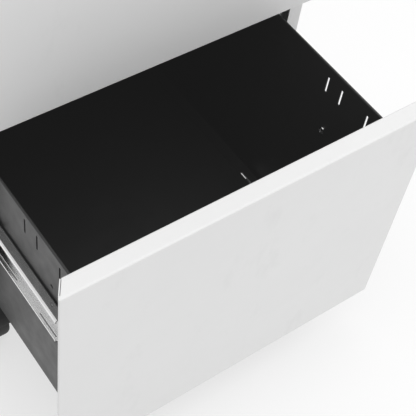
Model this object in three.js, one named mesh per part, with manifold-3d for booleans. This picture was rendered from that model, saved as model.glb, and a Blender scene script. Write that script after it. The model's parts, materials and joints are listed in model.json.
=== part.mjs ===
// A three-drawer mobile pedestal: a folded sheet-steel carcass on four twin-wheel casters, two box drawers
// over a file drawer, full-extension slides, and a lock with a bar that holds all three drawers.
// Millimetres. +Z up, the drawers open towards -Y. The origin is on the floor, at the middle of the
// object's box with the file drawer standing partly open.
import * as THREE from "three";
import { mergeVertices } from "three/addons/utils/BufferGeometryUtils.js";
import Module from "manifold-3d";

const wasm = await Module();
wasm.setup();

// ---- Driving dimensions ----
const WIDTH = 390;
const DEPTH = 510; // from the closed drawer fronts to the back
const HEIGHT = 683;
const FILE_OPEN = 163; // how far the file drawer stands open
const SHEET = 1;
const FIT = 0.3; // the gap left between pieces that touch

const CAP_HEIGHT = 30;
const FRONT_GAP = 3;
const FILE_FRONT_HEIGHT = 295;
const BOX_FRONT_HEIGHT = 146;
const FRONT_DEPTH = 17.6;
const SIDE_SLOPE = 10.6; // how far a front's side returns lean inwards over its depth, for the fingers
const FINGER_GAP = 8.4; // between a closed front and the carcass flange
const FLANGE_WIDTH = 17;

const CASTER_HEIGHT = 60;
const CASTER_INSET = { x: 26, front: 30, rear: 42 }; // swivel axes, in from the carcass edges
const WHEEL_RADIUS = 25;
const WHEEL_TRAIL = 19; // from the swivel axis to the axle
const WHEEL_WIDTH = 16.5;
const FORK_HALF = 3.4; // half of the fork's web, between the twin wheels

const BOX_HALF_WIDTH = 164.8; // to the outside of a drawer box's wall
const BOX_LENGTH = 470;
const RIM_OUT = 1.5; // how far the hem along a drawer box's wall stands out
const RIM_HEIGHT = 6;

const SLIDE_LENGTH = 450;
const SLIDE_HEIGHTS = { cabinet: 45, middle: 40, drawer: 35 };
const MIDDLE_SHORTER = { front: 27, rear: 18 }; // how far the middle member stops short of the other two
const SLIDE_SHEET = 1.1;
const TURNED_EDGE = 4; // height of the drawer member's turned-in edges
const WEB_CLEARANCE = 1; // from one slide member's lips to the next member's web

const POST_DEPTH = 15.4;
const POST_WIDTH = 30;

const LOCK = { x: 178, radius: 9, plug: 6, arm: 8 };
const PAST = 1; // how far a cutting block runs past what it cuts

// ---- Derived places ----
const HALF = WIDTH / 2;
const OPEN_FACE_Y = -(DEPTH + FILE_OPEN) / 2; // the file drawer's face as it stands open
const FACE_Y = OPEN_FACE_Y + FILE_OPEN; // the closed faces
const FLANGE_Y = FACE_Y + FRONT_DEPTH + FINGER_GAP;
const BACK_Y = FACE_Y + DEPTH;
const CAP_Z = HEIGHT - CAP_HEIGHT;
const FLANGE_INNER = HALF - FLANGE_WIDTH;
const FILE_BOTTOM_Z = CAP_Z - 3 * FRONT_GAP - 2 * BOX_FRONT_HEIGHT - FILE_FRONT_HEIGHT;
const LOCK_Z = CAP_Z + CAP_HEIGHT / 2;
const SIDE_TOP_Z = CAP_Z - FIT;

// Each drawer: its front's bottom and height, the box's floor and rim, the slides' middle height, the lock
// catch's height, and how far it stands open.
const midFront = FILE_BOTTOM_Z + FILE_FRONT_HEIGHT + FRONT_GAP;
const topFront = midFront + BOX_FRONT_HEIGHT + FRONT_GAP;
const boxDrawer = { height: BOX_FRONT_HEIGHT, floor: 18, slide: 66, catchZ: 100, open: 0 };
const DRAWERS = [
  {
    name: "file",
    z: FILE_BOTTOM_Z,
    height: FILE_FRONT_HEIGHT,
    floor: 33,
    slide: 177,
    catchZ: 243,
    open: FILE_OPEN,
  },
  { name: "middle", z: midFront, ...boxDrawer },
  { name: "top", z: topFront, ...boxDrawer },
];
const RIM_BELOW_FRONT = 31;

// ---- Materials ----
function finish(color, roughness, metalness) {
  return new THREE.MeshStandardMaterial({ color, roughness, metalness });
}
const whitePaint = finish(0xe9e9e8, 0.5, 0.0);
const blackPaint = finish(0x242424, 0.45, 0.0);
const zinc = finish(0xc9cbcc, 0.35, 0.9);
const chrome = finish(0xd8d9da, 0.2, 1.0);
const blackPlastic = finish(0x1c1c1d, 0.6, 0.0);
const wheelRubber = finish(0x202021, 0.75, 0.0);

// ---- Making solids ----
// Corners are rounded to a thousandth of a millimetre, so that faces meant to lie in one plane do.
function solidOf(geometry) {
  const bare = geometry.clone();
  bare.deleteAttribute("normal");
  bare.deleteAttribute("uv");
  const places = bare.attributes.position.array;
  places.forEach((value, i) => {
    places[i] = Math.round(value * 1000) / 1000;
  });
  const merged = mergeVertices(bare, 1e-3);
  return new wasm.Manifold(
    new wasm.Mesh({
      numProp: 3,
      vertProperties: merged.attributes.position.array,
      triVerts: new Uint32Array(merged.index.array),
    }),
  );
}

function geometryOf(solid) {
  const mesh = solid.getMesh();
  const geometry = new THREE.BufferGeometry();
  geometry.setAttribute("position", new THREE.BufferAttribute(mesh.vertProperties, 3));
  geometry.setIndex(new THREE.BufferAttribute(mesh.triVerts, 1));
  return geometry;
}

function join(...solids) {
  return solids.reduce((sum, solid) => sum.add(solid));
}

function cut(solid, ...tools) {
  return tools.reduce((rest, tool) => rest.subtract(tool), solid);
}

// A block from its lowest to its highest corner.
function block(x0, x1, y0, y1, z0, z1) {
  const geometry = new THREE.BoxGeometry(Math.abs(x1 - x0), Math.abs(y1 - y0), Math.abs(z1 - z0));
  geometry.translate((x0 + x1) / 2, (y0 + y1) / 2, (z0 + z1) / 2);
  return solidOf(geometry);
}

// A cylinder along an axis, from one end to the other of that axis.
function rod(axis, radius, from, to, a, b, sides = 24) {
  const geometry = new THREE.CylinderGeometry(radius, radius, Math.abs(to - from), sides);
  const middle = (from + to) / 2;
  if (axis === "x") geometry.rotateZ(Math.PI / 2).translate(middle, a, b);
  if (axis === "y") geometry.translate(a, middle, b);
  if (axis === "z") geometry.rotateX(Math.PI / 2).translate(a, b, middle);
  return solidOf(geometry);
}

// A block whose back is narrower than its front by the slope at each side.
function frustum(halfWidth, z0, z1, y0, y1, slope) {
  const corners = [];
  for (const [y, half] of [[y0, halfWidth], [y1, halfWidth - slope]])
    for (const [x, z] of [[-half, z0], [half, z0], [half, z1], [-half, z1]]) corners.push(x, y, z);
  const geometry = new THREE.BufferGeometry();
  geometry.setAttribute("position", new THREE.Float32BufferAttribute(corners, 3));
  geometry.setIndex([
    0, 1, 2, 0, 2, 3, 5, 4, 7, 5, 7, 6, 4, 5, 1, 4, 1, 0,
    3, 2, 6, 3, 6, 7, 4, 0, 3, 4, 3, 7, 1, 5, 6, 1, 6, 2,
  ]);
  return solidOf(geometry);
}

// An outline of [x, z] points, drawn out along Y.
function plateXZ(points, y0, y1, holes = []) {
  const shape = new THREE.Shape(points.map(([x, z]) => new THREE.Vector2(x, z)));
  for (const hole of holes) shape.holes.push(new THREE.Path(hole.map(([x, z]) => new THREE.Vector2(x, z))));
  const geometry = new THREE.ExtrudeGeometry(shape, { depth: y1 - y0, bevelEnabled: false });
  geometry.rotateX(Math.PI / 2).translate(0, y1, 0);
  return solidOf(geometry);
}

const cabinet = new THREE.Group();

function add(name, solid, material) {
  const mesh = new THREE.Mesh(geometryOf(solid), material);
  mesh.name = name;
  cabinet.add(mesh);
}

// ---- Carcass ----
// One side: the outer sheet with its front and rear flanges and a return along its top edge.
function sidePanel(side) {
  const inner = side * (HALF - SHEET);
  const beyond = side * (FLANGE_INNER - PAST);
  const returnStart = 18; // the top return starts behind the lock bar
  return cut(
    block(side * FLANGE_INNER, side * HALF, FLANGE_Y, BACK_Y, CASTER_HEIGHT, SIDE_TOP_Z),
    block(inner, beyond, FLANGE_Y + SHEET, BACK_Y - SHEET, CASTER_HEIGHT - PAST, SIDE_TOP_Z - SHEET),
    block(inner, beyond, FLANGE_Y + SHEET, FLANGE_Y + returnStart, SIDE_TOP_Z - 2 * SHEET, SIDE_TOP_Z + PAST),
  );
}

// A C-shaped upright behind a side panel, open towards it. The slides are screwed to its web.
function post(side, y0) {
  const web = side * (FLANGE_INNER + FIT);
  const foot = side * (FLANGE_INNER + FIT + POST_DEPTH);
  const z0 = CASTER_HEIGHT + SHEET + FIT;
  const z1 = SIDE_TOP_Z - SHEET - FIT;
  return cut(
    block(web, foot, y0, y0 + POST_WIDTH, z0, z1),
    block(web + side * SHEET, foot + side * PAST, y0 + SHEET, y0 + POST_WIDTH - SHEET, z0 - PAST, z1 + PAST),
  );
}

const FRONT_POST_BACK = 20; // behind the flanges' face
const REAR_POST_FORWARD = 60; // ahead of the back
for (const [word, side] of [["left", -1], ["right", 1]]) {
  add(`side_panel_${word}`, sidePanel(side), whitePaint);
  add(`post_front_${word}`, post(side, FLANGE_Y + FRONT_POST_BACK), zinc);
  add(`post_rear_${word}`, post(side, BACK_Y - REAR_POST_FORWARD), zinc);
}

const BACK_SEAT = BACK_Y - SHEET - FIT;
add(
  "back_panel",
  block(-(HALF - SHEET - FIT), HALF - SHEET - FIT, BACK_SEAT - SHEET, BACK_SEAT,
    CASTER_HEIGHT, SIDE_TOP_Z - SHEET - FIT),
  whitePaint,
);

// The base is a pan with its front and rear edges turned up.
const baseFront = FLANGE_Y + SHEET + FIT;
const baseBack = BACK_SEAT - SHEET - FIT;
const baseHalf = HALF - SHEET - FIT;
const baseLipTop = CASTER_HEIGHT + 22;
add(
  "base_pan",
  join(
    block(-baseHalf, baseHalf, baseFront, baseBack, CASTER_HEIGHT, CASTER_HEIGHT + SHEET),
    block(-baseHalf, baseHalf, baseFront, baseFront + SHEET, CASTER_HEIGHT, baseLipTop),
    block(-baseHalf, baseHalf, baseBack - SHEET, baseBack, CASTER_HEIGHT, baseLipTop),
  ),
  whitePaint,
);

// The cap is a lid with a skirt all round and a return under its overhang at the front.
function topCap() {
  const skirtHalf = HALF - SHEET;
  const returnEnd = FLANGE_Y - FIT;
  return cut(
    block(-HALF, HALF, FACE_Y, BACK_Y, CAP_Z, HEIGHT),
    block(-skirtHalf, skirtHalf, FACE_Y + SHEET, BACK_Y - SHEET, CAP_Z + SHEET, HEIGHT - SHEET),
    block(-skirtHalf, skirtHalf, returnEnd, BACK_Y - SHEET, CAP_Z - PAST, CAP_Z + SHEET + PAST),
    rod("y", LOCK.radius + FIT, FACE_Y - PAST, FACE_Y + SHEET + PAST, LOCK.x, LOCK_Z),
  );
}
add("top_cap", topCap(), whitePaint);

// Cross rails close the openings between the drawers: a web behind the flanges and a shorter leg.
const RAIL_HALF_HEIGHT = 13;
for (const [name, z] of [["cross_rail_lower", midFront], ["cross_rail_upper", topFront]]) {
  const middle = z - FRONT_GAP / 2;
  const bottom = middle - RAIL_HALF_HEIGHT;
  const top = middle + RAIL_HALF_HEIGHT;
  const legHalf = 160;
  const legDepth = 25;
  add(
    name,
    join(
      block(-baseHalf, baseHalf, baseFront, baseFront + SHEET, bottom, top),
      block(-legHalf, legHalf, baseFront, baseFront + legDepth, top - SHEET, top),
    ),
    whitePaint,
  );
}

// ---- Slides ----
// A C-shaped slide member. The web is at one side and the flanges reach towards the other, where their
// edges may be turned in.
function slideMember(web, lip, height, y0, y1, z, turned = SLIDE_SHEET) {
  const toLip = Math.sign(lip - web);
  const half = height / 2;
  const hollow = half - SLIDE_SHEET;
  const mouth = half - turned;
  return cut(
    block(web, lip, y0, y1, z - half, z + half),
    block(web + toLip * SLIDE_SHEET, lip - toLip * SLIDE_SHEET, y0 - PAST, y1 + PAST, z - hollow, z + hollow),
    block(web + toLip * SLIDE_SHEET, lip + toLip * PAST, y0 - PAST, y1 + PAST, z - mouth, z + mouth),
  );
}

// ---- Drawers ----
const SLIDE_START = FLANGE_Y - FACE_Y + 13; // the slides' front ends, behind a front's face
const LINER_BACK = FRONT_DEPTH + FIT + SHEET;
const CATCH = { x0: 167.1, x1: 177, reach: 40, holeX0: 169.5, holeX1: 176.5, holeY0: 31.5, holeY1: 37 };

// A folded pan: the face, a level return along its top and bottom, and side returns that lean inwards as
// they run back. It is open at the back.
function frontPanel(drawer, face) {
  const z0 = drawer.z;
  const z1 = drawer.z + drawer.height;
  const thick = SHEET * Math.hypot(1, SIDE_SLOPE / FRONT_DEPTH); // a side return's, measured along X
  const sideIn = thick + (SIDE_SLOPE * SHEET) / FRONT_DEPTH;
  const inside = face + SHEET;
  return cut(
    frustum(HALF, z0, z1, face, face + FRONT_DEPTH, SIDE_SLOPE),
    frustum(HALF - sideIn, z0 + SHEET, z1 - SHEET, inside, inside + FRONT_DEPTH, SIDE_SLOPE),
  );
}

// The plate that closes a front's back, with the lock catch folded out of its right edge.
function frontLiner(drawer, face) {
  const margin = 1; // inside the front's back edge
  const half = HALF - SIDE_SLOPE - margin;
  const z0 = drawer.z + margin;
  const z1 = drawer.z + drawer.height - margin;
  const y0 = face + FRONT_DEPTH + FIT;
  const catchZ = drawer.z + drawer.catchZ;
  return cut(
    join(
      block(-half, half, y0, face + LINER_BACK, z0, z1),
      block(CATCH.x0, CATCH.x1, y0, face + CATCH.reach, catchZ, catchZ + SHEET),
    ),
    block(CATCH.holeX0, CATCH.holeX1, face + CATCH.holeY0, face + CATCH.holeY1,
      catchZ - PAST, catchZ + SHEET + PAST),
  );
}

// A drawer box: floor and four walls with a hem standing out along the side walls.
function drawerBox(drawer, face) {
  const y0 = face + LINER_BACK + FIT;
  const y1 = y0 + BOX_LENGTH;
  const z0 = drawer.z + drawer.floor;
  const z1 = drawer.z + drawer.height - RIM_BELOW_FRONT;
  const inner = BOX_HALF_WIDTH - SHEET;
  const shell = cut(
    block(-BOX_HALF_WIDTH, BOX_HALF_WIDTH, y0, y1, z0, z1),
    block(-inner, inner, y0 + SHEET, y1 - SHEET, z0 + SHEET, z1 + PAST),
  );
  return join(
    shell,
    ...[-1, 1].map((side) =>
      block(side * inner, side * (BOX_HALF_WIDTH + RIM_OUT), y0, y1, z1 - RIM_HEIGHT, z1),
    ),
  );
}

// The file drawer's box has three upright slots near the front of each wall, a small hole, and a slit
// beside the wall where the floor is folded.
const SLOT = { height: 19, width: 2.4, top: 43, places: [50, 86.5, 106.5] };
const WALL_HOLE = { y: 62.5, below: 86, radius: 2.2 };
const FLOOR_SLIT = { x: 152, width: 2.4, y0: 163, y1: 183 };

function fileBox(drawer, face) {
  const z1 = drawer.z + drawer.height;
  const floor = drawer.z + drawer.floor;
  const reach = BOX_HALF_WIDTH + PAST;
  const tools = SLOT.places.map((y) =>
    block(-reach, reach, face + y - SLOT.width / 2, face + y + SLOT.width / 2,
      z1 - SLOT.top - SLOT.height, z1 - SLOT.top),
  );
  tools.push(rod("x", WALL_HOLE.radius, -reach, reach, face + WALL_HOLE.y, z1 - WALL_HOLE.below, 12));
  tools.push(block(FLOOR_SLIT.x, FLOOR_SLIT.x + FLOOR_SLIT.width, face + FLOOR_SLIT.y0, face + FLOOR_SLIT.y1,
    floor - PAST, floor + SHEET + PAST));
  return cut(drawerBox(drawer, face), ...tools);
}

for (const drawer of DRAWERS) {
  const face = FACE_Y - drawer.open;
  const slideZ = drawer.z + drawer.slide;
  const box = drawer.name === "file" ? fileBox(drawer, face) : drawerBox(drawer, face);
  add(`${drawer.name}_front`, frontPanel(drawer, face), whitePaint);
  add(`${drawer.name}_front_liner`, frontLiner(drawer, face), blackPaint);
  add(`${drawer.name}_drawer_box`, box, blackPaint);
  for (const [word, side] of [["left", -1], ["right", 1]]) {
    const wall = side * (BOX_HALF_WIDTH + FIT);
    const postFace = side * FLANGE_INNER;
    const middleWeb = postFace - side * (SLIDE_SHEET + FIT);
    const drawerLip = middleWeb - side * (SLIDE_SHEET + FIT);
    const middleLip = wall + side * (SLIDE_SHEET + WEB_CLEARANCE);
    const cabinetLip = middleLip + side * WEB_CLEARANCE;
    const start = FACE_Y + SLIDE_START;
    const end = start + SLIDE_LENGTH;
    const middleStart = start + MIDDLE_SHORTER.front - drawer.open / 2;
    const middleEnd = end - MIDDLE_SHORTER.rear - drawer.open / 2;
    add(`${drawer.name}_slide_cabinet_${word}`,
      slideMember(postFace, cabinetLip, SLIDE_HEIGHTS.cabinet, start, end, slideZ), zinc);
    add(`${drawer.name}_slide_middle_${word}`,
      slideMember(middleWeb, middleLip, SLIDE_HEIGHTS.middle, middleStart, middleEnd, slideZ), zinc);
    add(`${drawer.name}_slide_drawer_${word}`,
      slideMember(wall, drawerLip, SLIDE_HEIGHTS.drawer, start - drawer.open, end - drawer.open, slideZ,
        TURNED_EDGE),
      zinc);
  }
}

// ---- Lock ----
const BEZEL = { radius: 11.5, thick: 2 };
const BARREL_END = FACE_Y + 25;
const BORE = LOCK.plug + FIT;
add(
  "lock_barrel",
  cut(
    join(
      rod("y", LOCK.radius, FACE_Y - FIT, BARREL_END, LOCK.x, LOCK_Z),
      rod("y", BEZEL.radius, FACE_Y - FIT - BEZEL.thick, FACE_Y - FIT, LOCK.x, LOCK_Z),
    ),
    rod("y", BORE, FACE_Y - FIT - BEZEL.thick - PAST, BARREL_END + PAST, LOCK.x, LOCK_Z),
  ),
  chrome,
);

const PLUG_FACE = FACE_Y - FIT - BEZEL.thick;
const PLUG_END = FACE_Y + 28;
const KEYWAY = { width: 1.8, height: 7.5, depth: 12 };
add(
  "lock_plug",
  cut(
    rod("y", LOCK.plug, PLUG_FACE, PLUG_END, LOCK.x, LOCK_Z),
    block(LOCK.x - KEYWAY.width / 2, LOCK.x + KEYWAY.width / 2, PLUG_FACE - PAST, PLUG_FACE + KEYWAY.depth,
      LOCK_Z - KEYWAY.height / 2, LOCK_Z + KEYWAY.height / 2),
  ),
  chrome,
);

// The cam is an arm behind the plug, with a pin that works in the window of the lock bar.
const CAM = { y: PLUG_END + FIT, thick: 2, hub: 5, tip: 3 };
const PIN_RADIUS = 2;
const BAR_Y = FACE_Y + 33;
const BAR_THICK = 2.5;
const camEnd = CAM.y + CAM.thick;
const pinX = LOCK.x + LOCK.arm;
add(
  "lock_cam",
  join(
    rod("y", CAM.hub, CAM.y, camEnd, LOCK.x, LOCK_Z),
    block(LOCK.x, pinX, CAM.y, camEnd, LOCK_Z - CAM.tip, LOCK_Z + CAM.tip),
    rod("y", CAM.tip, CAM.y, camEnd, pinX, LOCK_Z),
    rod("y", PIN_RADIUS, CAM.y, BAR_Y + BAR_THICK, pinX, LOCK_Z, 16),
  ),
  zinc,
);

// The lock bar: an upright strip with a hooked tooth above each drawer's catch, and a head with a window.
function lockBar() {
  const x0 = 181;
  const x1 = 191;
  const tooth = { x0: 170.4, x1: 175.6, clear: 1, length: 9, arm: 5 };
  const head = { x0: 172, z0: LOCK_Z - 12, z1: LOCK_Z + 9 };
  const tail = 20; // below the lowest catch
  const barBottom = DRAWERS[0].z + DRAWERS[0].catchZ - tail;
  const outline = [[x1, barBottom], [x1, head.z1], [head.x0, head.z1], [head.x0, head.z0], [x0, head.z0]];
  for (const drawer of [...DRAWERS].reverse()) {
    const tip = drawer.z + drawer.catchZ + SHEET + tooth.clear;
    const armZ = tip + tooth.length;
    outline.push([x0, armZ + tooth.arm], [tooth.x0, armZ + tooth.arm], [tooth.x0, tip]);
    outline.push([tooth.x1, tip], [tooth.x1, armZ], [x0, armZ]);
  }
  outline.push([x0, barBottom]);
  const clearance = { side: 0.6, end: 1.9 }; // round the cam's pin
  const low = LOCK_Z - PIN_RADIUS - clearance.end;
  const high = LOCK_Z + PIN_RADIUS + clearance.end;
  const left = LOCK.x - PIN_RADIUS - clearance.side;
  const right = pinX + PIN_RADIUS + clearance.side;
  const window = [[left, low], [left, high], [right, high], [right, low]];
  return plateXZ(outline, BAR_Y, BAR_Y + BAR_THICK, [window]);
}
add("lock_bar", lockBar(), zinc);

// ---- Casters ----
// Each caster trails towards the drawers: a fixed plate with a bearing neck, a fork with its fender and
// axle, and two wheels.
const PLATE = { half: 20, thick: 2.5, neck: 13, neckZ: 54.5 };
const AXLE_RADIUS = 4;
const AXLE_HALF = FORK_HALF + FIT + WHEEL_WIDTH;

function casterPlate(x, y) {
  const top = CASTER_HEIGHT - FIT;
  return join(
    block(x - PLATE.half, x + PLATE.half, y - PLATE.half, y + PLATE.half, top - PLATE.thick, top),
    rod("z", PLATE.neck, PLATE.neckZ, top - PLATE.thick / 2, x, y),
  );
}

function casterFork(x, y) {
  const axleY = y - WHEEL_TRAIL;
  const boss = { radius: 10, z0: 49.5 };
  const fender = { inner: WHEEL_RADIUS + 1.2, outer: WHEEL_RADIUS + 3.4, half: AXLE_HALF, above: 12 };
  const around = 2 * fender.outer;
  const ring = cut(
    rod("x", fender.outer, x - fender.half, x + fender.half, axleY, WHEEL_RADIUS, 40),
    rod("x", fender.inner, x - fender.half - PAST, x + fender.half + PAST, axleY, WHEEL_RADIUS, 40),
    block(x - around, x + around, axleY - around, axleY + around, -around, WHEEL_RADIUS + fender.above),
  );
  const arm = { radius: 14, half: 8 };
  const web = join(
    rod("x", arm.radius, x - FORK_HALF, x + FORK_HALF, axleY, WHEEL_RADIUS),
    block(x - FORK_HALF, x + FORK_HALF, axleY - arm.half, y + arm.half, WHEEL_RADIUS, boss.z0 + 1),
  );
  return join(
    ring,
    web,
    rod("z", boss.radius, boss.z0, PLATE.neckZ - FIT, x, y),
    rod("x", AXLE_RADIUS, x - AXLE_HALF, x + AXLE_HALF, axleY, WHEEL_RADIUS, 20),
  );
}

// One wheel of a pair, turned about X: a rounded tread, and a hub set in from its outer side. The profile
// holds each corner's radius and how far out it is along the axle.
function casterWheel(x, y, side) {
  const bore = AXLE_RADIUS + FIT;
  const w = WHEEL_WIDTH;
  const r = WHEEL_RADIUS;
  const profile = [
    [bore, 0], [r - 3, 0], [r, 3], [r, w - 4], [r - 1.2, w - 1.3], [r - 4, w], [r - 7, w],
    [r - 8, w - 3], [bore + 4, w - 3], [bore + 3, w - 1], [bore, w - 1], [bore, 0],
  ].map(([radius, along]) => new THREE.Vector2(radius, along));
  const geometry = new THREE.LatheGeometry(profile, 32);
  const inner = x + side * (FORK_HALF + FIT);
  geometry.rotateZ(side * -Math.PI / 2).translate(inner, y - WHEEL_TRAIL, r);
  return solidOf(geometry);
}

const casterX = HALF - CASTER_INSET.x;
const CASTERS = [
  ["front_left", -casterX, FLANGE_Y + CASTER_INSET.front],
  ["front_right", casterX, FLANGE_Y + CASTER_INSET.front],
  ["rear_left", -casterX, BACK_Y - CASTER_INSET.rear],
  ["rear_right", casterX, BACK_Y - CASTER_INSET.rear],
];
for (const [word, x, y] of CASTERS) {
  add(`caster_plate_${word}`, casterPlate(x, y), zinc);
  add(`caster_fork_${word}`, casterFork(x, y), blackPlastic);
  add(`caster_wheel_a_${word}`, casterWheel(x, y, -1), wheelRubber);
  add(`caster_wheel_b_${word}`, casterWheel(x, y, 1), wheelRubber);
}

export default cabinet;
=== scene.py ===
# A mobile filing cabinet in folded sheet steel: two box drawers over a file drawer that stands partly open.
# Metres, +Z up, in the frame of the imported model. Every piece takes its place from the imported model's nodes.
import cmath
import json
import math

import bmesh
import bpy
from mathutils import Matrix, Vector

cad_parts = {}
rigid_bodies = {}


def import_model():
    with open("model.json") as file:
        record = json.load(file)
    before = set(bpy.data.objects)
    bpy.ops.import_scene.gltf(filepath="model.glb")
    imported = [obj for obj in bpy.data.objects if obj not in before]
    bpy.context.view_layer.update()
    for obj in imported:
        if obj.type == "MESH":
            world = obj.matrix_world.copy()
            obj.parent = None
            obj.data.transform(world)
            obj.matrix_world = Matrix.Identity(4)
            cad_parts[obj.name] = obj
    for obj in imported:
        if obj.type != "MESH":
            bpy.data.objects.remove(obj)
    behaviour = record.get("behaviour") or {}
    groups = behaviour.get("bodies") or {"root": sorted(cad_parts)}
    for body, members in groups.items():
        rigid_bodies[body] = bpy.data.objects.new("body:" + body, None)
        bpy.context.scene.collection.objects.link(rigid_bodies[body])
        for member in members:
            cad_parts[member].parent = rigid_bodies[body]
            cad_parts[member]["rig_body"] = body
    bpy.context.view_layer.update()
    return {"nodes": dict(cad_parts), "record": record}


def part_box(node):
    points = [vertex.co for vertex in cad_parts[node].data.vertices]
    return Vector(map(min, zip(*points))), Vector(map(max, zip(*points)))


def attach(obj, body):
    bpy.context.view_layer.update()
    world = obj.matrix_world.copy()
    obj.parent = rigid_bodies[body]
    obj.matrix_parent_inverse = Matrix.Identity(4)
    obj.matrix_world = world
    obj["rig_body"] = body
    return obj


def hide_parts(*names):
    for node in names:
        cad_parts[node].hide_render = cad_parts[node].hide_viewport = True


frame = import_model()

MM = 0.001
SLOT_OF = {part["node"]: part["material_slot"] for part in frame["record"]["subparts"]}
BODY_OF = {node: obj["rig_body"] for node, obj in frame["nodes"].items()}
TOUCHING = 0.01 * MM  # points this close to a face lie on it
SAME_POINT = 0.002 * MM
DRAWERS = ("file", "middle", "top")
SIDES = (("left", -1), ("right", 1))
CORNERS = ("front_left", "front_right", "rear_left", "rear_right")


# ---- Materials ----
def add(tree, kind, inputs=None, **settings):
    """A shader node with its settings, and its inputs given as sockets to link or values to hold."""
    node = tree.nodes.new(kind)
    for key, value in settings.items():
        setattr(node, key, value)
    for key, value in (inputs or {}).items():
        if isinstance(value, bpy.types.NodeSocket):
            tree.links.new(value, node.inputs[key])
        else:
            node.inputs[key].default_value = value
    return node


def new_material(name, **fixed):
    """A material, its node tree and its Principled shader, with the shader's fixed values set."""
    material = bpy.data.materials.new(name)
    material.use_nodes = True
    shader = material.node_tree.nodes["Principled BSDF"]
    for key, value in fixed.items():
        shader.inputs[key.replace("_", " ")].default_value = value
    return material, material.node_tree, shader


def noise(tree, scale, detail=2.0, stretch=(1, 1, 1), roughness=0.5):
    """Noise with that many features per metre, in the object's own space."""
    place = add(tree, "ShaderNodeTexCoord").outputs["Object"]
    if stretch != (1, 1, 1):
        place = add(tree, "ShaderNodeMapping", {"Vector": place, "Scale": stretch}).outputs["Vector"]
    return add(tree, "ShaderNodeTexNoise", {
        "Vector": place, "Scale": scale, "Detail": detail, "Roughness": roughness,
    }).outputs["Fac"]


def spread(tree, value, low, high, to_low=0.0, to_high=1.0):
    """The value stretched from one range to another, and held inside it."""
    return add(tree, "ShaderNodeMapRange", {
        "Value": value, "From Min": low, "From Max": high, "To Min": to_low, "To Max": to_high,
    }).outputs["Result"]


def mixed(tree, factor, first, second):
    """A colour between two others."""
    node = add(tree, "ShaderNodeMix", data_type="RGBA")
    for index, value in ((0, factor), (6, first), (7, second)):
        if isinstance(value, bpy.types.NodeSocket):
            tree.links.new(value, node.inputs[index])
        else:
            node.inputs[index].default_value = value
    return node.outputs[2]


def edges(tree, radius):
    """1 along sharp edges and 0 on flat ground, broken up by noise."""
    rounded_normal = add(tree, "ShaderNodeBevel", {"Radius": radius}, samples=4).outputs["Normal"]
    true_normal = add(tree, "ShaderNodeNewGeometry").outputs["Normal"]
    dot = add(tree, "ShaderNodeVectorMath", {0: rounded_normal, 1: true_normal}, operation="DOT_PRODUCT")
    sharp = spread(tree, dot.outputs["Value"], 0.98, 0.80)
    return add(tree, "ShaderNodeMath", {0: sharp, 1: spread(tree, noise(tree, 140, 3), 0.35, 0.75)},
               operation="MULTIPLY").outputs["Value"]


def bump(tree, shader, height, strength, distance):
    normal = add(tree, "ShaderNodeBump", {
        "Height": height, "Strength": strength, "Distance": distance,
    }).outputs["Normal"]
    tree.links.new(normal, shader.inputs["Normal"])


def gray(level, warm=0.0):
    return (level * (1 + warm), level, level * (1 - warm), 1.0)


def powder_coat(name, level, roughness, scuff, worn, peel, warm=0.0):
    """Powder coat: orange peel, slow drifts of tone, faint scuffs, and edges where the coat is thin."""
    material, tree, shader = new_material(name, IOR=1.5)
    drift = noise(tree, 7, 3)
    scuffs = spread(tree, noise(tree, 34, 5, (1, 1, 0.45), 0.65), 0.58, 0.74)
    tone = mixed(tree, drift, gray(level * 0.975, warm), gray(level * 1.02, warm))
    tone = mixed(tree, scuffs, tone, gray(level * scuff, warm))
    tone = mixed(tree, edges(tree, 0.7 * MM), tone, gray(worn))
    tree.links.new(tone, shader.inputs["Base Color"])
    rough = spread(tree, noise(tree, 55, 4), 0.3, 0.7, roughness - 0.05, roughness + 0.06)
    tree.links.new(rough, shader.inputs["Roughness"])
    bump(tree, shader, noise(tree, 1100, 2), peel, 0.05 * MM)
    return material


def plated(name, level, roughness, along, warm=0.0):
    """Plated steel: brushing along one axis, cloudy plating, and darker, rougher patches."""
    material, tree, shader = new_material(name, Metallic=1.0)
    stretch = tuple(0.03 if i == along else 1 for i in range(3))
    brushing = noise(tree, 2600, 2, stretch)
    cloud = noise(tree, 45, 4)
    tone = mixed(tree, cloud, gray(level * 0.94, warm), gray(level * 1.03, warm))
    tone = mixed(tree, edges(tree, 0.4 * MM), tone, gray(min(level * 1.15, 0.95)))
    tree.links.new(tone, shader.inputs["Base Color"])
    rough = spread(tree, cloud, 0.3, 0.7, roughness - 0.03, roughness + 0.05)
    tree.links.new(rough, shader.inputs["Roughness"])
    bump(tree, shader, brushing, 0.06, 0.02 * MM)
    return material


def moulded(name, level, roughness, grain, dust):
    """Moulded plastic or rubber: a fine grain, dust, and paler rubbed edges."""
    material, tree, shader = new_material(name, IOR=1.48)
    dusty = spread(tree, noise(tree, 60, 5), 0.45, 0.75)
    tone = mixed(tree, dusty, gray(level), gray(level + dust))
    tone = mixed(tree, edges(tree, 0.5 * MM), tone, gray(level * 2.2))
    tree.links.new(tone, shader.inputs["Base Color"])
    rough = spread(tree, noise(tree, 90, 3), 0.3, 0.7, roughness - 0.06, roughness + 0.08)
    tree.links.new(rough, shader.inputs["Roughness"])
    bump(tree, shader, noise(tree, grain, 3), 0.3, 0.06 * MM)
    return material


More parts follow.
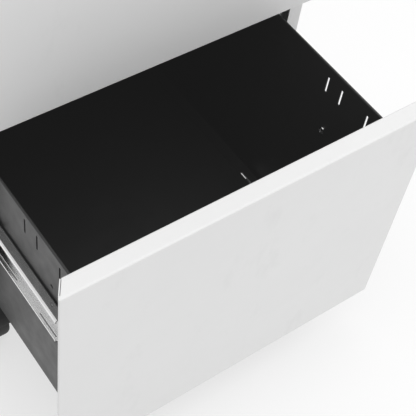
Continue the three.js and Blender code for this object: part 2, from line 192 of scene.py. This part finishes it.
PAINT = {
    "carcass_paint": powder_coat("carcass white powder coat", 0.72, 0.42, 0.965, 0.62, 0.35),
    "front_paint": powder_coat("front white powder coat", 0.72, 0.40, 0.955, 0.70, 0.22),
    "drawer_paint": powder_coat("drawer black powder coat", 0.016, 0.40, 1.25, 0.035, 0.30),
    "zinc_plate": plated("zinc plate", 0.86, 0.15, 1),
    "lock_chrome": plated("satin chrome", 0.72, 0.16, 2),
    "caster_plastic": moulded("caster nylon", 0.012, 0.44, 1500, 0.010),
    "caster_tyre": moulded("caster wheel rubber", 0.005, 0.60, 1100, 0.003),
}
UPRIGHT_ZINC = plated("zinc plate, brushed upright", 0.74, 0.30, 2)
SCREW_STEEL = plated("screw steel", 0.70, 0.22, 0)
BUMPER_RUBBER = moulded("bumper rubber", 0.16, 0.55, 900, 0.03)


# ---- Making pieces ----
def finished(name, bm, body, slot, material, stands_for=(), edge=0.15 * MM, smooth=35):
    """Turns a bmesh into a piece that rides on a body, with its sheet edges eased."""
    bmesh.ops.recalc_face_normals(bm, faces=bm.faces)
    mesh = bpy.data.meshes.new(name)
    bm.to_mesh(mesh)
    bm.free()
    mesh.materials.append(material)
    mesh.polygons.foreach_set("use_smooth", [True] * len(mesh.polygons))
    mesh.set_sharp_from_angle(angle=math.radians(smooth))
    obj = bpy.data.objects.new(name, mesh)
    bpy.context.scene.collection.objects.link(obj)
    if edge:
        bevel = obj.modifiers.new("eased edges", "BEVEL")
        bevel.width = edge
        bevel.segments = 2
        bevel.limit_method = "ANGLE"
        bevel.angle_limit = math.radians(50)
        bevel.harden_normals = True
    flat = obj.modifiers.new("flat faces stay flat", "WEIGHTED_NORMAL")
    flat.keep_sharp = True
    flat.weight = 100
    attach(obj, body)
    if stands_for:
        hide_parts(*stands_for)
    return obj


def stand_in(node, bm, material=None, **settings):
    """A finer piece in place of one CAD node, on its body, in its slot's material unless another is given."""
    slot = SLOT_OF[node]
    return finished(f"{node}_fine", bm, BODY_OF[node], slot, material or PAINT[slot], [node], **settings)


def rounded(points, radii, steps=6):
    """An open path through complex points, with an arc of the given radius at each inner corner."""
    if not isinstance(radii, (list, tuple)):
        radii = [radii] * (len(points) - 2)
    path = [points[0]]
    for before, corner, after, radius in zip(points, points[1:], points[2:], radii):
        into = (corner - before) / abs(corner - before)
        out = (after - corner) / abs(after - corner)
        turn = cmath.phase(out / into)
        if abs(turn) < 1e-4 or not radius:
            path.append(corner)
            continue
        start = corner - into * radius * math.tan(abs(turn) / 2)
        centre = start + 1j * into * math.copysign(radius, turn)
        path += [centre + (start - centre) * cmath.exp(1j * turn * i / steps) for i in range(steps + 1)]
    return path + [points[-1]]


def sheet(path, thickness):
    """The closed outline of a sheet whose middle follows a path."""
    left = []
    right = []
    for i, here in enumerate(path):
        along = path[min(i + 1, len(path) - 1)] - path[max(i - 1, 0)]
        across = 1j * along / abs(along) * thickness / 2
        left.append(here + across)
        right.append(here - across)
    return left + right[::-1]


def extrude(bm, outline, start, end, place):
    """Draws a closed outline out from start to end. place(a, b, along) gives each corner's point."""
    rings = [[bm.verts.new(place(p.real, p.imag, at)) for p in outline] for at in (start, end)]
    count = len(outline)
    for i in range(count):
        j = (i + 1) % count
        bm.faces.new((rings[0][i], rings[0][j], rings[1][j], rings[1][i]))
    bm.faces.new(rings[0][::-1])
    bm.faces.new(rings[1])


def along_x(a, b, t):
    return (t, a, b)


def along_y(a, b, t):
    return (a, t, b)


def along_z(a, b, t):
    return (a, b, t)


def block(bm, low, high):
    """A block between two corners."""
    size = Vector(high) - Vector(low)
    middle = (Vector(high) + Vector(low)) / 2
    bmesh.ops.create_cube(bm, size=1, matrix=Matrix.Translation(middle) @ Matrix.Diagonal((*size, 1)))


AXES = {
    "x": Matrix(((0, 0, 1), (1, 0, 0), (0, 1, 0))).to_4x4(),
    "y": Matrix(((1, 0, 0), (0, 0, -1), (0, 1, 0))).to_4x4() @ Matrix.Rotation(math.pi, 4, "X"),
    "z": Matrix.Identity(4),
}


def mirrored(side, a, b):
    """Two distances from the middle plane as x values on one side, the lower first."""
    return sorted((side * a, side * b))


def lathe(bm, profile, at, axis="z", flip=False, sides=32):
    """Turns (radius, along) pairs about an axis through a point. flip points along the other way."""
    turn = AXES[axis] @ (Matrix.Diagonal((1, 1, -1, 1)) if flip else Matrix.Identity(4))
    place = Matrix.Translation(at) @ turn
    rings = []
    for radius, along in profile:
        if radius < 1e-7:
            rings.append([bm.verts.new(place @ Vector((0, 0, along)))])
            continue
        rings.append([
            bm.verts.new(place @ Vector((
                radius * math.cos(2 * math.pi * i / sides), radius * math.sin(2 * math.pi * i / sides), along,
            )))
            for i in range(sides)
        ])
    for first, second in zip(rings, rings[1:]):
        for i in range(sides):
            j = (i + 1) % sides
            corners = [
                first[i % len(first)], first[j % len(first)],
                second[j % len(second)], second[i % len(second)],
            ]
            bm.faces.new(list(dict.fromkeys(corners)))


def helper_object(bm):
    """A bmesh as an object that only a modifier uses. The bmesh is used up."""
    mesh = bpy.data.meshes.new("helper")
    bm.to_mesh(mesh)
    bm.free()
    obj = bpy.data.objects.new("helper", mesh)
    bpy.context.scene.collection.objects.link(obj)
    return obj


def modified(obj, *others):
    """The object's shape behind its modifiers, as a new bmesh. The helper objects are removed."""
    result = bmesh.new()
    evaluated = obj.evaluated_get(bpy.context.evaluated_depsgraph_get())
    result.from_mesh(evaluated.to_mesh())
    evaluated.to_mesh_clear()
    for helper in (obj, *others):
        mesh = helper.data
        bpy.data.objects.remove(helper)
        bpy.data.meshes.remove(mesh)
    return result


def cut_away(bm, cutter):
    """The bmesh without the cutter's volume. Both are used up."""
    for source in (bm, cutter):
        bmesh.ops.recalc_face_normals(source, faces=source.faces)
    kept = helper_object(bm)
    tool = helper_object(cutter)
    boolean = kept.modifiers.new("cut", "BOOLEAN")
    boolean.object = tool
    boolean.solver = "EXACT"
    boolean.use_self = True
    return modified(kept, tool)


def thickened(bm, thickness):
    """An open surface that faces outwards, given a thickness inwards."""
    obj = helper_object(bm)
    solid = obj.modifiers.new("sheet thickness", "SOLIDIFY")
    solid.thickness = thickness
    solid.offset = -1
    solid.use_even_offset = True
    return modified(obj)


def eased_copy(node, width, material=None, segments=2, lowered=0.0):
    """A CAD node's own shape with its edges rounded, as a piece that stands for it. lowered brings its top
    edge down by that much."""
    bm = bmesh.new()
    bm.from_mesh(frame["nodes"][node].data)
    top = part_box(node)[1].z
    for vert in bm.verts:
        if vert.co.z > top - TOUCHING:
            vert.co.z -= lowered
    bmesh.ops.remove_doubles(bm, verts=bm.verts, dist=SAME_POINT)
    bmesh.ops.dissolve_limit(bm, angle_limit=math.radians(0.5), verts=bm.verts, edges=bm.edges)
    bevel = stand_in(node, bm, material, edge=width).modifiers["eased edges"]
    bevel.segments = segments
    bevel.angle_limit = math.radians(30)


# ---- Folded pans: the drawer fronts and the cap ----
PAN_SHEET = 1.0 * MM
BEND = 1.6 * MM  # outer radius of a folded edge
PAN_LIP = 9 * MM
SIDE_LEAN = 10.6 * MM  # how far a front's side returns lean inwards over its depth
SEAM = 0.15 * MM  # by which a side return stops short of the corner
CUT_BACK = 1.25 * MM  # by which a top or bottom return stops short, clear of the side return's sheet
LINER_DROP = 3 * MM  # keeps a liner's top edge out of sight behind the front's return
PARTING = (0.01, 0.10, 0.16)  # along a return: a line that keeps it flat, the closed part's end, the cut
BEND_STEPS = 6


def fold(lean, depth, lip):
    """A pan's folded edge as (in from the outermost point, back from the face): a bend, a return that leans
    inwards by lean, and a lip."""
    apex = 0.0
    for _ in range(4):  # the bend's own reach changes the turn a little, and settles in a few rounds
        turn = math.pi / 2 + math.atan((lean + apex) / depth)
        apex = BEND * (math.tan(turn / 2) - 1)
    corners = [complex(12 * MM, 0), complex(-apex, 0), complex(lean, depth), complex(lean + lip, depth)]
    return rounded(corners, BEND, BEND_STEPS)[1:]


def pan(half, v0, v1, side_fold, end_fold, place, open_corners):
    """A pan of one sheet: a flat face and four folded edges. Open corners are closed for the first few
    millimetres behind the bend, and there the returns part. place(u, v, depth) gives each point."""
    bm = bmesh.new()
    face_corners = None
    rings = []
    stations = list(zip(side_fold, end_fold))
    parted = len(stations)
    if open_corners:
        bend_end, lip_start = stations[BEND_STEPS:BEND_STEPS + 2]
        extra = [tuple(a + (b - a) * share for a, b in zip(bend_end, lip_start)) for share in PARTING]
        stations[BEND_STEPS + 1:BEND_STEPS + 1] = extra
        parted = BEND_STEPS + len(PARTING)
    for i, (side, end) in enumerate(stations):
        u = half - side.real
        low, high = v0 + end.real, v1 - end.real
        if i < parted:
            depth = (side.imag + end.imag) / 2
            corners = [bm.verts.new(place(*c, depth)) for c in ((-u, low), (u, low), (u, high), (-u, high))]
            rings.append([(corners[k], corners[(k + 1) % 4]) for k in range(4)])
            face_corners = face_corners or corners
            continue
        short = u - CUT_BACK
        rings.append([
            (bm.verts.new(place(-short, low, end.imag)), bm.verts.new(place(short, low, end.imag))),
            (bm.verts.new(place(u, low + SEAM, side.imag)), bm.verts.new(place(u, high - SEAM, side.imag))),
            (bm.verts.new(place(short, high, end.imag)), bm.verts.new(place(-short, high, end.imag))),
            (bm.verts.new(place(-u, high - SEAM, side.imag)), bm.verts.new(place(-u, low + SEAM, side.imag))),
        ])
    face = bm.faces.new(face_corners)
    for outer, inner in zip(rings, rings[1:]):
        for (a, b), (c, d) in zip(outer, inner):
            bm.faces.new((a, b, d, c))
    bmesh.ops.recalc_face_normals(bm, faces=bm.faces)
    outwards = Vector(place(0, 0, -1)) - Vector(place(0, 0, 0))
    if face.normal.dot(outwards) < 0:
        bmesh.ops.reverse_faces(bm, faces=bm.faces)
    return bm


for drawer in DRAWERS:
    low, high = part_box(f"{drawer}_front")
    depth = high.y - low.y
    front = pan(
        high.x, low.z, high.z,
        fold(SIDE_LEAN, depth, PAN_LIP), fold(0, depth, PAN_LIP),
        lambda u, v, w: (u, low.y + w, v), True,
    )
    stand_in(f"{drawer}_front", thickened(front, PAN_SHEET), edge=0)
    eased_copy(f"{drawer}_front_liner", 0.25 * MM, lowered=LINER_DROP)


# ---- Drawer boxes ----
BOX_SHEET = 0.9 * MM
HEM = 1.7 * MM  # from the middle of a wall's sheet to the middle of its hem
HEM_DROP = 5.4 * MM
LAP = 151.2 * MM  # the side walls' bottom flanges reach in to here
FLANGE_RISE = 1.1 * MM  # by which those flanges lie above the floor's sheet
WALL_BEND = 1.6 * MM
FLOOR_BEND = 1.8 * MM
WALL_FRONT, WALL_BACK = 1.2 * MM, 0.2 * MM  # by which the walls stop short of the floor's folds
FLOOR_BACK = 1.6 * MM  # from the box's end to the middle of its rear fold
FLOOR_SIDE, FLOOR_TOP = 0.25 * MM, 0.6 * MM  # room beside the walls and below their rims
SLOT_PLACES = (50 * MM, 86.5 * MM, 106.5 * MM)  # behind the front's face
SLOT_TOP, SLOT_LENGTH, SLOT_WIDTH = 43 * MM, 19 * MM, 2.3 * MM
HOLE = {"y": 62.5 * MM, "below": 86 * MM, "radius": 2.2 * MM}
SLIT = {"x0": 152 * MM, "x1": 154.5 * MM, "y0": 163 * MM, "y1": 183 * MM}


def drawer_box(drawer):
    """Two side walls with rolled hems and bottom flanges, and a floor folded up at its front and back."""
    low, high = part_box(f"{drawer}_drawer_box")
    half = BOX_SHEET / 2
    wall = high.x - half - HEM
    hem_bend = HEM / 2 - TOUCHING
    bm = bmesh.new()
    for _, side in SIDES:
        path = rounded([
            complex(LAP, low.z + FLANGE_RISE + half),
            complex(wall, low.z + FLANGE_RISE + half),
            complex(wall, high.z - half),
            complex(wall + HEM, high.z - half),
            complex(wall + HEM, high.z - HEM_DROP),
        ], [WALL_BEND, hem_bend, hem_bend])
        extrude(bm, sheet([complex(side * p.real, p.imag) for p in path], BOX_SHEET),
                low.y + WALL_FRONT, high.y - WALL_BACK, along_y)
    reach = wall - half - FLOOR_SIDE
    path = rounded([
        complex(low.y + half, high.z - FLOOR_TOP),
        complex(low.y + half, low.z + half),
        complex(high.y - FLOOR_BACK, low.z + half),
        complex(high.y - FLOOR_BACK, high.z - FLOOR_TOP),
    ], FLOOR_BEND)
    extrude(bm, sheet(path, BOX_SHEET), -reach, reach, along_x)
    return bm


def file_box_cuts():
    """The slots, the holes and the slits of the file drawer's box, as solids that pass through its sheet."""
    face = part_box("file_front")[0].y
    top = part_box("file_front")[1].z
    low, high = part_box("file_drawer_box")
    beyond = high.x + 4 * MM
    inside = high.x - 10 * MM
    bm = bmesh.new()
    for _, side in SIDES:
        near, far = mirrored(side, inside, beyond)
        for y in SLOT_PLACES:
            block(bm, (near, face + y - SLOT_WIDTH / 2, top - SLOT_TOP - SLOT_LENGTH),
                  (far, face + y + SLOT_WIDTH / 2, top - SLOT_TOP))
        lathe(bm, [(0, near), (HOLE["radius"], near), (HOLE["radius"], far), (0, far)],
              (0, face + HOLE["y"], top - HOLE["below"]), "x", sides=20)
        near, far = mirrored(side, SLIT["x0"], SLIT["x1"])
        block(bm, (near, face + SLIT["y0"], low.z - 3 * MM), (far, face + SLIT["y1"], low.z + 5 * MM))
    return bm


for drawer in DRAWERS:
    box = drawer_box(drawer)
    if drawer == "file":
        box = cut_away(box, file_box_cuts())
    stand_in(f"{drawer}_drawer_box", box)


# ---- Slides ----
SLIDE_SHEET = 1.1 * MM
SLIDE_BEND = 0.95 * MM
SLIDE_EDGE = 0.12 * MM
BALL_TRACK = ((2.6 * MM, 0), (3.4 * MM, 1), (5.6 * MM, 1), (6.4 * MM, 0))  # out from the web, share of dip
MIDDLE_DIP = 0.35 * MM
TURNED_EDGE = 4.0 * MM  # height of the drawer member's turned-in edges
TURNED_BEND = 1.5 * MM
DRAWER_SLOTS = ((43, 71), (111, 150), (220, 250), (330, 360))  # millimetres behind the front's face
SLOT_SIDES = (170.6 * MM, 172.2 * MM)  # the slots' sides, from the middle plane


def member_path(web, lip, half_height, dip, turned):
    """Half of a slide member's section, from the middle of its web to the end of its flange. Each flange is
    pressed inwards along its middle, where the balls run, and its edge may be turned in towards the other."""
    sign = math.copysign(1, lip - web)
    edge = half_height - SLIDE_SHEET / 2
    start = web + sign * SLIDE_SHEET / 2
    corners = [complex(start, 0), complex(start, edge)]
    for across, share in BALL_TRACK:
        corners.append(complex(web + sign * across, edge - dip * share))
    if not turned:
        return corners + [complex(lip, edge)]
    end = lip - sign * SLIDE_SHEET / 2
    return corners + [complex(end, edge), complex(end, half_height - turned)]


def slide_member(node, web_outside, dip, turned=0.0, slots=()):
    """One member of a slide. Its web is on its outer or inner side, and slots pierce its lower flange."""
    low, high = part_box(node)
    side = math.copysign(1, low.x + high.x)
    inner, outer = sorted((abs(low.x), abs(high.x)))
    web, lip = (outer, inner) if web_outside else (inner, outer)
    middle = (low.z + high.z) / 2
    half = member_path(web, lip, (high.z - low.z) / 2, dip, turned)
    corners = [complex(p.real, -p.imag) for p in half[:0:-1]] + half[1:]
    radii = [SLIDE_BEND] * (len(corners) - 2)
    if turned:
        radii[0] = radii[-1] = TURNED_BEND
    path = rounded(corners, radii)
    outline = sheet([complex(side * p.real, middle + p.imag) for p in path], SLIDE_SHEET)
    bm = bmesh.new()
    extrude(bm, outline, low.y, high.y, along_y)
    if slots:
        cutter = bmesh.new()
        near, far = mirrored(side, *SLOT_SIDES)
        for y0, y1 in slots:
            block(cutter, (near, y0, low.z - 2 * MM), (far, y1, low.z + 3 * MM))
        bm = cut_away(bm, cutter)
    stand_in(node, bm, edge=SLIDE_EDGE)


for drawer in DRAWERS:
    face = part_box(f"{drawer}_front")[0].y
    slots = [(face + y0 * MM, face + y1 * MM) for y0, y1 in DRAWER_SLOTS]
    for word, _ in SIDES:
        slide_member(f"{drawer}_slide_drawer_{word}", False, 0.0, TURNED_EDGE, slots)
        slide_member(f"{drawer}_slide_middle_{word}", True, MIDDLE_DIP)
        slide_member(f"{drawer}_slide_cabinet_{word}", True, 0.0)


# ---- Screws ----
HEAD_RIM, HEAD_DOME, HEAD_TOP = 0.10, 0.24, 0.345  # heights on a head that is 1 across
DOME_ANGLES = (0.35, 0.7, 1.05, 1.35)
RECESS_LENGTH, RECESS_WIDTH = 0.29, 0.055  # half the cross's length and width
RECESS_FLOOR = 0.16
SLIDE_SCREWS = {"behind": (97 * MM, 290 * MM, 420 * MM), "above": 10 * MM, "size": 8.5 * MM, "flatness": 0.8}
BACK_SCREWS = {"inset": 10 * MM, "shares": (0.04, 0.35, 0.65, 0.96), "size": 6.5 * MM, "flatness": 0.45}


def screw_mesh():
    """A pan-head screw with a cross recess, standing on z 0 and 1 across."""
    head = bmesh.new()
    dome = [(0, 0), (0.5, 0), (0.5, HEAD_RIM)]
    dome += [(0.5 * math.cos(a), HEAD_RIM + HEAD_DOME * math.sin(a)) for a in DOME_ANGLES]
    lathe(head, dome + [(0, HEAD_TOP)], (0, 0, 0), sides=20)
    recess = bmesh.new()
    for x, y in ((RECESS_LENGTH, RECESS_WIDTH), (RECESS_WIDTH, RECESS_LENGTH)):
        block(recess, (-x, -y, RECESS_FLOOR), (x, y, 0.5))
    cut = cut_away(head, recess)
    mesh = bpy.data.meshes.new("screw")
    cut.to_mesh(mesh)
    cut.free()
    return mesh


SCREW = screw_mesh()
TOWARDS = {
    "-x": Matrix.Rotation(-math.pi / 2, 4, "Y"),
    "+x": Matrix.Rotation(math.pi / 2, 4, "Y"),
    "+y": Matrix.Rotation(-math.pi / 2, 4, "X"),
}


def screws(name, body, heads, kind):
    """Screw heads at (place, direction the head faces), each turned a little differently."""
    size = Matrix.Diagonal((kind["size"], kind["size"], kind["size"] * kind["flatness"], 1))
    bm = bmesh.new()
    for i, (place, facing) in enumerate(heads):
        turn = Matrix.Rotation(0.6 + 1.9 * i, 4, "Z")
        matrix = Matrix.Translation(place) @ TOWARDS[facing] @ turn @ size
        copy = bmesh.new()
        copy.from_mesh(SCREW)
        copy.transform(matrix)
        mesh = bpy.data.meshes.new("one screw")
        copy.to_mesh(mesh)
        copy.free()
        bm.from_mesh(mesh)
        bpy.data.meshes.remove(mesh)
    finished(name, bm, body, "zinc_plate", SCREW_STEEL, edge=0, smooth=30)


for drawer in DRAWERS:
    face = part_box(f"{drawer}_front")[0].y
    low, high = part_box(f"{drawer}_slide_drawer_right")
    middle = (low.z + high.z) / 2
    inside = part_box(f"{drawer}_drawer_box")[1].x - HEM - BOX_SHEET
    height = middle + SLIDE_SCREWS["above"]
    heads = [
        (Vector((side * inside, face + y, height)), "-x" if side > 0 else "+x")
        for _, side in SIDES for y in SLIDE_SCREWS["behind"]
    ]
    screws(f"{drawer}_slide_screws", f"{drawer}_drawer", heads, SLIDE_SCREWS)


# ---- Carcass ----
HALF_SHEET = PAN_SHEET / 2
SIDE_BEND = 1.5 * MM
POST_BEND = 1.4 * MM
RAIL_BEND = 1.6 * MM
CAP_LIP = 14 * MM
# How far a side's top flange stays in from the side's box.
TOP_FLANGE = {"front": 18 * MM, "side": 1.1 * MM, "rear": 1.3 * MM, "below": 0.1 * MM}
RAIL_REACH = 160 * MM  # half the length of a rail's folded part, between its flat ends
RAIL_END_DROP = 2 * MM
BUMPER_X, BUMPER_RISE = 181.5 * MM, 20 * MM
BUMPER_PROFILE = ((3.4, 0), (3.3, 4.6), (2.9, 5.8), (2.0, 6.4), (0, 6.6))  # radius and height in millimetres

for word, side in SIDES:
    node = f"side_panel_{word}"
    low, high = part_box(node)
    outer, inner = sorted((abs(low.x), abs(high.x)), reverse=True)
    path = rounded([
        complex(side * inner, low.y + HALF_SHEET),
        complex(side * (outer - HALF_SHEET), low.y + HALF_SHEET),
        complex(side * (outer - HALF_SHEET), high.y - HALF_SHEET),
        complex(side * inner, high.y - HALF_SHEET),
    ], SIDE_BEND)
    panel = bmesh.new()
    extrude(panel, sheet(path, PAN_SHEET), low.z, high.z, along_z)
    near, far = mirrored(side, inner, outer - TOP_FLANGE["side"])
    block(panel, (near, low.y + TOP_FLANGE["front"], high.z - PAN_SHEET),
          (far, high.y - TOP_FLANGE["rear"], high.z - TOP_FLANGE["below"]))
    stand_in(node, panel)
    for end in ("front", "rear"):
        node = f"post_{end}_{word}"
        low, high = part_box(node)
        inner, outer = sorted((abs(low.x), abs(high.x)))
        path = rounded([
            complex(side * outer, low.y + HALF_SHEET),
            complex(side * (inner + HALF_SHEET), low.y + HALF_SHEET),
            complex(side * (inner + HALF_SHEET), high.y - HALF_SHEET),
            complex(side * outer, high.y - HALF_SHEET),
        ], POST_BEND)
        upright = bmesh.new()
        extrude(upright, sheet(path, PAN_SHEET), low.z, high.z, along_z)
        stand_in(node, upright, UPRIGHT_ZINC)

low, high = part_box("top_cap")
cap_fold = fold(0, high.z - low.z, CAP_LIP)
cap = pan(high.x, low.y, high.y, cap_fold, cap_fold, lambda u, v, w: (u, v, high.z - w), False)
stand_in("top_cap", thickened(cap, PAN_SHEET), edge=0)

low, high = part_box("base_pan")
path = rounded([
    complex(low.y + HALF_SHEET, high.z),
    complex(low.y + HALF_SHEET, low.z + HALF_SHEET),
    complex(high.y - HALF_SHEET, low.z + HALF_SHEET),
    complex(high.y - HALF_SHEET, high.z),
], RAIL_BEND)
base = bmesh.new()
extrude(base, sheet(path, PAN_SHEET), low.x, high.x, along_x)
stand_in("base_pan", base)

for name in ("lower", "upper"):
    low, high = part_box(f"cross_rail_{name}")
    rail = bmesh.new()
    path = rounded([
        complex(low.y + HALF_SHEET, low.z),
        complex(low.y + HALF_SHEET, high.z - HALF_SHEET),
        complex(high.y, high.z - HALF_SHEET),
    ], RAIL_BEND)
    extrude(rail, sheet(path, PAN_SHEET), -RAIL_REACH, RAIL_REACH, along_x)
    for _, side in SIDES:
        near, far = mirrored(side, RAIL_REACH, high.x)
        block(rail, (near, low.y, low.z), (far, low.y + PAN_SHEET, high.z - RAIL_END_DROP))
    stand_in(f"cross_rail_{name}", rail)

eased_copy("back_panel", 0.3 * MM)
low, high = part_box("back_panel")
heads = [
    (Vector((x, high.y, low.z + share * (high.z - low.z))), "+y")
    for x in (low.x + BACK_SCREWS["inset"], high.x - BACK_SCREWS["inset"])
    for share in BACK_SCREWS["shares"]
]
screws("back_panel_screws", "carcass", heads, BACK_SCREWS)

# Rubber bumpers on the carcass flanges, which the closed fronts' backs come to rest against.
bumpers = bmesh.new()
flange_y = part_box("side_panel_left")[0].y
for drawer in DRAWERS:
    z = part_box(f"{drawer}_front")[0].z + BUMPER_RISE
    for _, side in SIDES:
        profile = [(radius * MM, height * MM) for radius, height in BUMPER_PROFILE]
        lathe(bumpers, profile, (side * BUMPER_X, flange_y, z), "y", flip=True, sides=24)
finished("front_bumpers", bumpers, "carcass", "caster_plastic", BUMPER_RUBBER, edge=0)


# ---- Lock ----
eased_copy("lock_barrel", 0.5 * MM, segments=3)
eased_copy("lock_plug", 0.25 * MM)
eased_copy("lock_cam", 0.25 * MM)
eased_copy("lock_bar", 0.25 * MM, UPRIGHT_ZINC)


# ---- Casters ----
def wheel_profile(radius, width):
    """Half a wheel's section in millimetres, as (radius, distance from its inner face): a bore, a tread with
    rounded shoulders, a dished outer face and a raised hub."""
    bore = 4.3
    return [
        (bore, 0), (radius - 3, 0), (radius - 0.9, 0.8), (radius, 2.6),
        (radius, width - 5), (radius - 0.5, width - 2.6), (radius - 1.6, width - 0.9), (radius - 3.6, width),
        (radius - 6.2, width), (radius - 7.0, width - 0.8), (radius - 7.4, width - 2.8),
        (radius - 8.4, width - 3.0), (9.0, width - 3.0), (8.2, width - 1.2), (7.4, width - 1.0),
        (bore, width - 1.0), (bore, 0),
    ]


for corner in CORNERS:
    eased_copy(f"caster_plate_{corner}", 0.6 * MM)
    eased_copy(f"caster_fork_{corner}", 0.7 * MM)
    for letter, side in (("a", -1), ("b", 1)):
        node = f"caster_wheel_{letter}_{corner}"
        low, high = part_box(node)
        at = (high.x if side < 0 else low.x, (low.y + high.y) / 2, (low.z + high.z) / 2)
        profile = wheel_profile((high.z - low.z) / 2 / MM, (high.x - low.x) / MM)
        wheel = bmesh.new()
        lathe(wheel, [(r * MM, a * MM) for r, a in profile], at, "x", flip=side < 0, sides=72)
        stand_in(node, wheel, edge=0, smooth=40)


# ---- Floor, light and camera ----
FLOOR_REACH = 6.0
FLOOR_DROP = 0.2 * MM
FLOOR_GLOW = 0.62
SURROUND = 0.76
SOFTBOXES = (  # name, place, target, size, power
    ("overhead softbox", (0.35, -0.35, 2.4), (0.0, -0.25, 0.35), (2.6, 2.0), 27),
    ("front softbox", (1.1, -1.9, 1.5), (0.0, -0.17, 0.45), (1.6, 1.2), 5),
)
CAMERA_PLACE = Vector((-0.41625, -0.70372, 1.02991))
AZIMUTH, ELEVATION, ROLL = (math.radians(a) for a in (-42.282, 52.627, 9.346))
LENS, SENSOR = 93.45, 36
SHIFT = (0.0476, 0.0194)
BLACK_LEVEL = -0.009  # the photographic black isn't quite black

floor_bm = bmesh.new()
bmesh.ops.create_grid(floor_bm, x_segments=2, y_segments=2, size=FLOOR_REACH)
floor_mesh = bpy.data.meshes.new("floor")
floor_bm.to_mesh(floor_mesh)
floor_bm.free()
floor = bpy.data.objects.new("floor", floor_mesh)
bpy.context.scene.collection.objects.link(floor)
floor.location.z = -FLOOR_DROP
floor_material, floor_tree, floor_shader = new_material(
    "pale floor", Roughness=0.9, Emission_Strength=FLOOR_GLOW, Emission_Color=(1, 1, 1, 1))
floor_tone = mixed(floor_tree, noise(floor_tree, 3, 2), gray(0.30), gray(0.32))
floor_tree.links.new(floor_tone, floor_shader.inputs["Base Color"])
floor_mesh.materials.append(floor_material)

world = bpy.data.worlds.new("pale studio")
bpy.context.scene.world = world
world.use_nodes = True
background = world.node_tree.nodes["Background"]
background.inputs["Color"].default_value = (1.0, 1.0, 1.0, 1.0)
background.inputs["Strength"].default_value = SURROUND

for name, place, target, size, power in SOFTBOXES:
    data = bpy.data.lights.new(name, "AREA")
    data.shape = "RECTANGLE"
    data.size, data.size_y = size
    data.energy = power
    light = bpy.data.objects.new(name, data)
    light.location = place
    light.rotation_euler = (Vector(target) - Vector(place)).to_track_quat("-Z", "Y").to_euler()
    bpy.context.scene.collection.objects.link(light)

back = Vector((
    math.sin(AZIMUTH) * math.cos(ELEVATION), -math.cos(AZIMUTH) * math.cos(ELEVATION), math.sin(ELEVATION),
))
level_right = (-back).cross(Vector((0, 0, 1))).normalized()
level_up = level_right.cross(-back)
right = math.cos(ROLL) * level_right + math.sin(ROLL) * level_up
up = math.cos(ROLL) * level_up - math.sin(ROLL) * level_right
camera_data = bpy.data.cameras.new("camera")
camera_data.sensor_width = SENSOR
camera_data.lens = LENS
camera_data.shift_x, camera_data.shift_y = SHIFT
camera_data.clip_start, camera_data.clip_end = 0.01, 30
camera = bpy.data.objects.new("camera", camera_data)
camera.matrix_world = Matrix.Translation(CAMERA_PLACE) @ Matrix((right, up, back)).transposed().to_4x4()
bpy.context.scene.collection.objects.link(camera)
bpy.context.scene.camera = camera
view = bpy.context.scene.view_settings
view.view_transform = "Standard"
view.use_curve_mapping = True
view.curve_mapping.black_level = (BLACK_LEVEL,) * 3
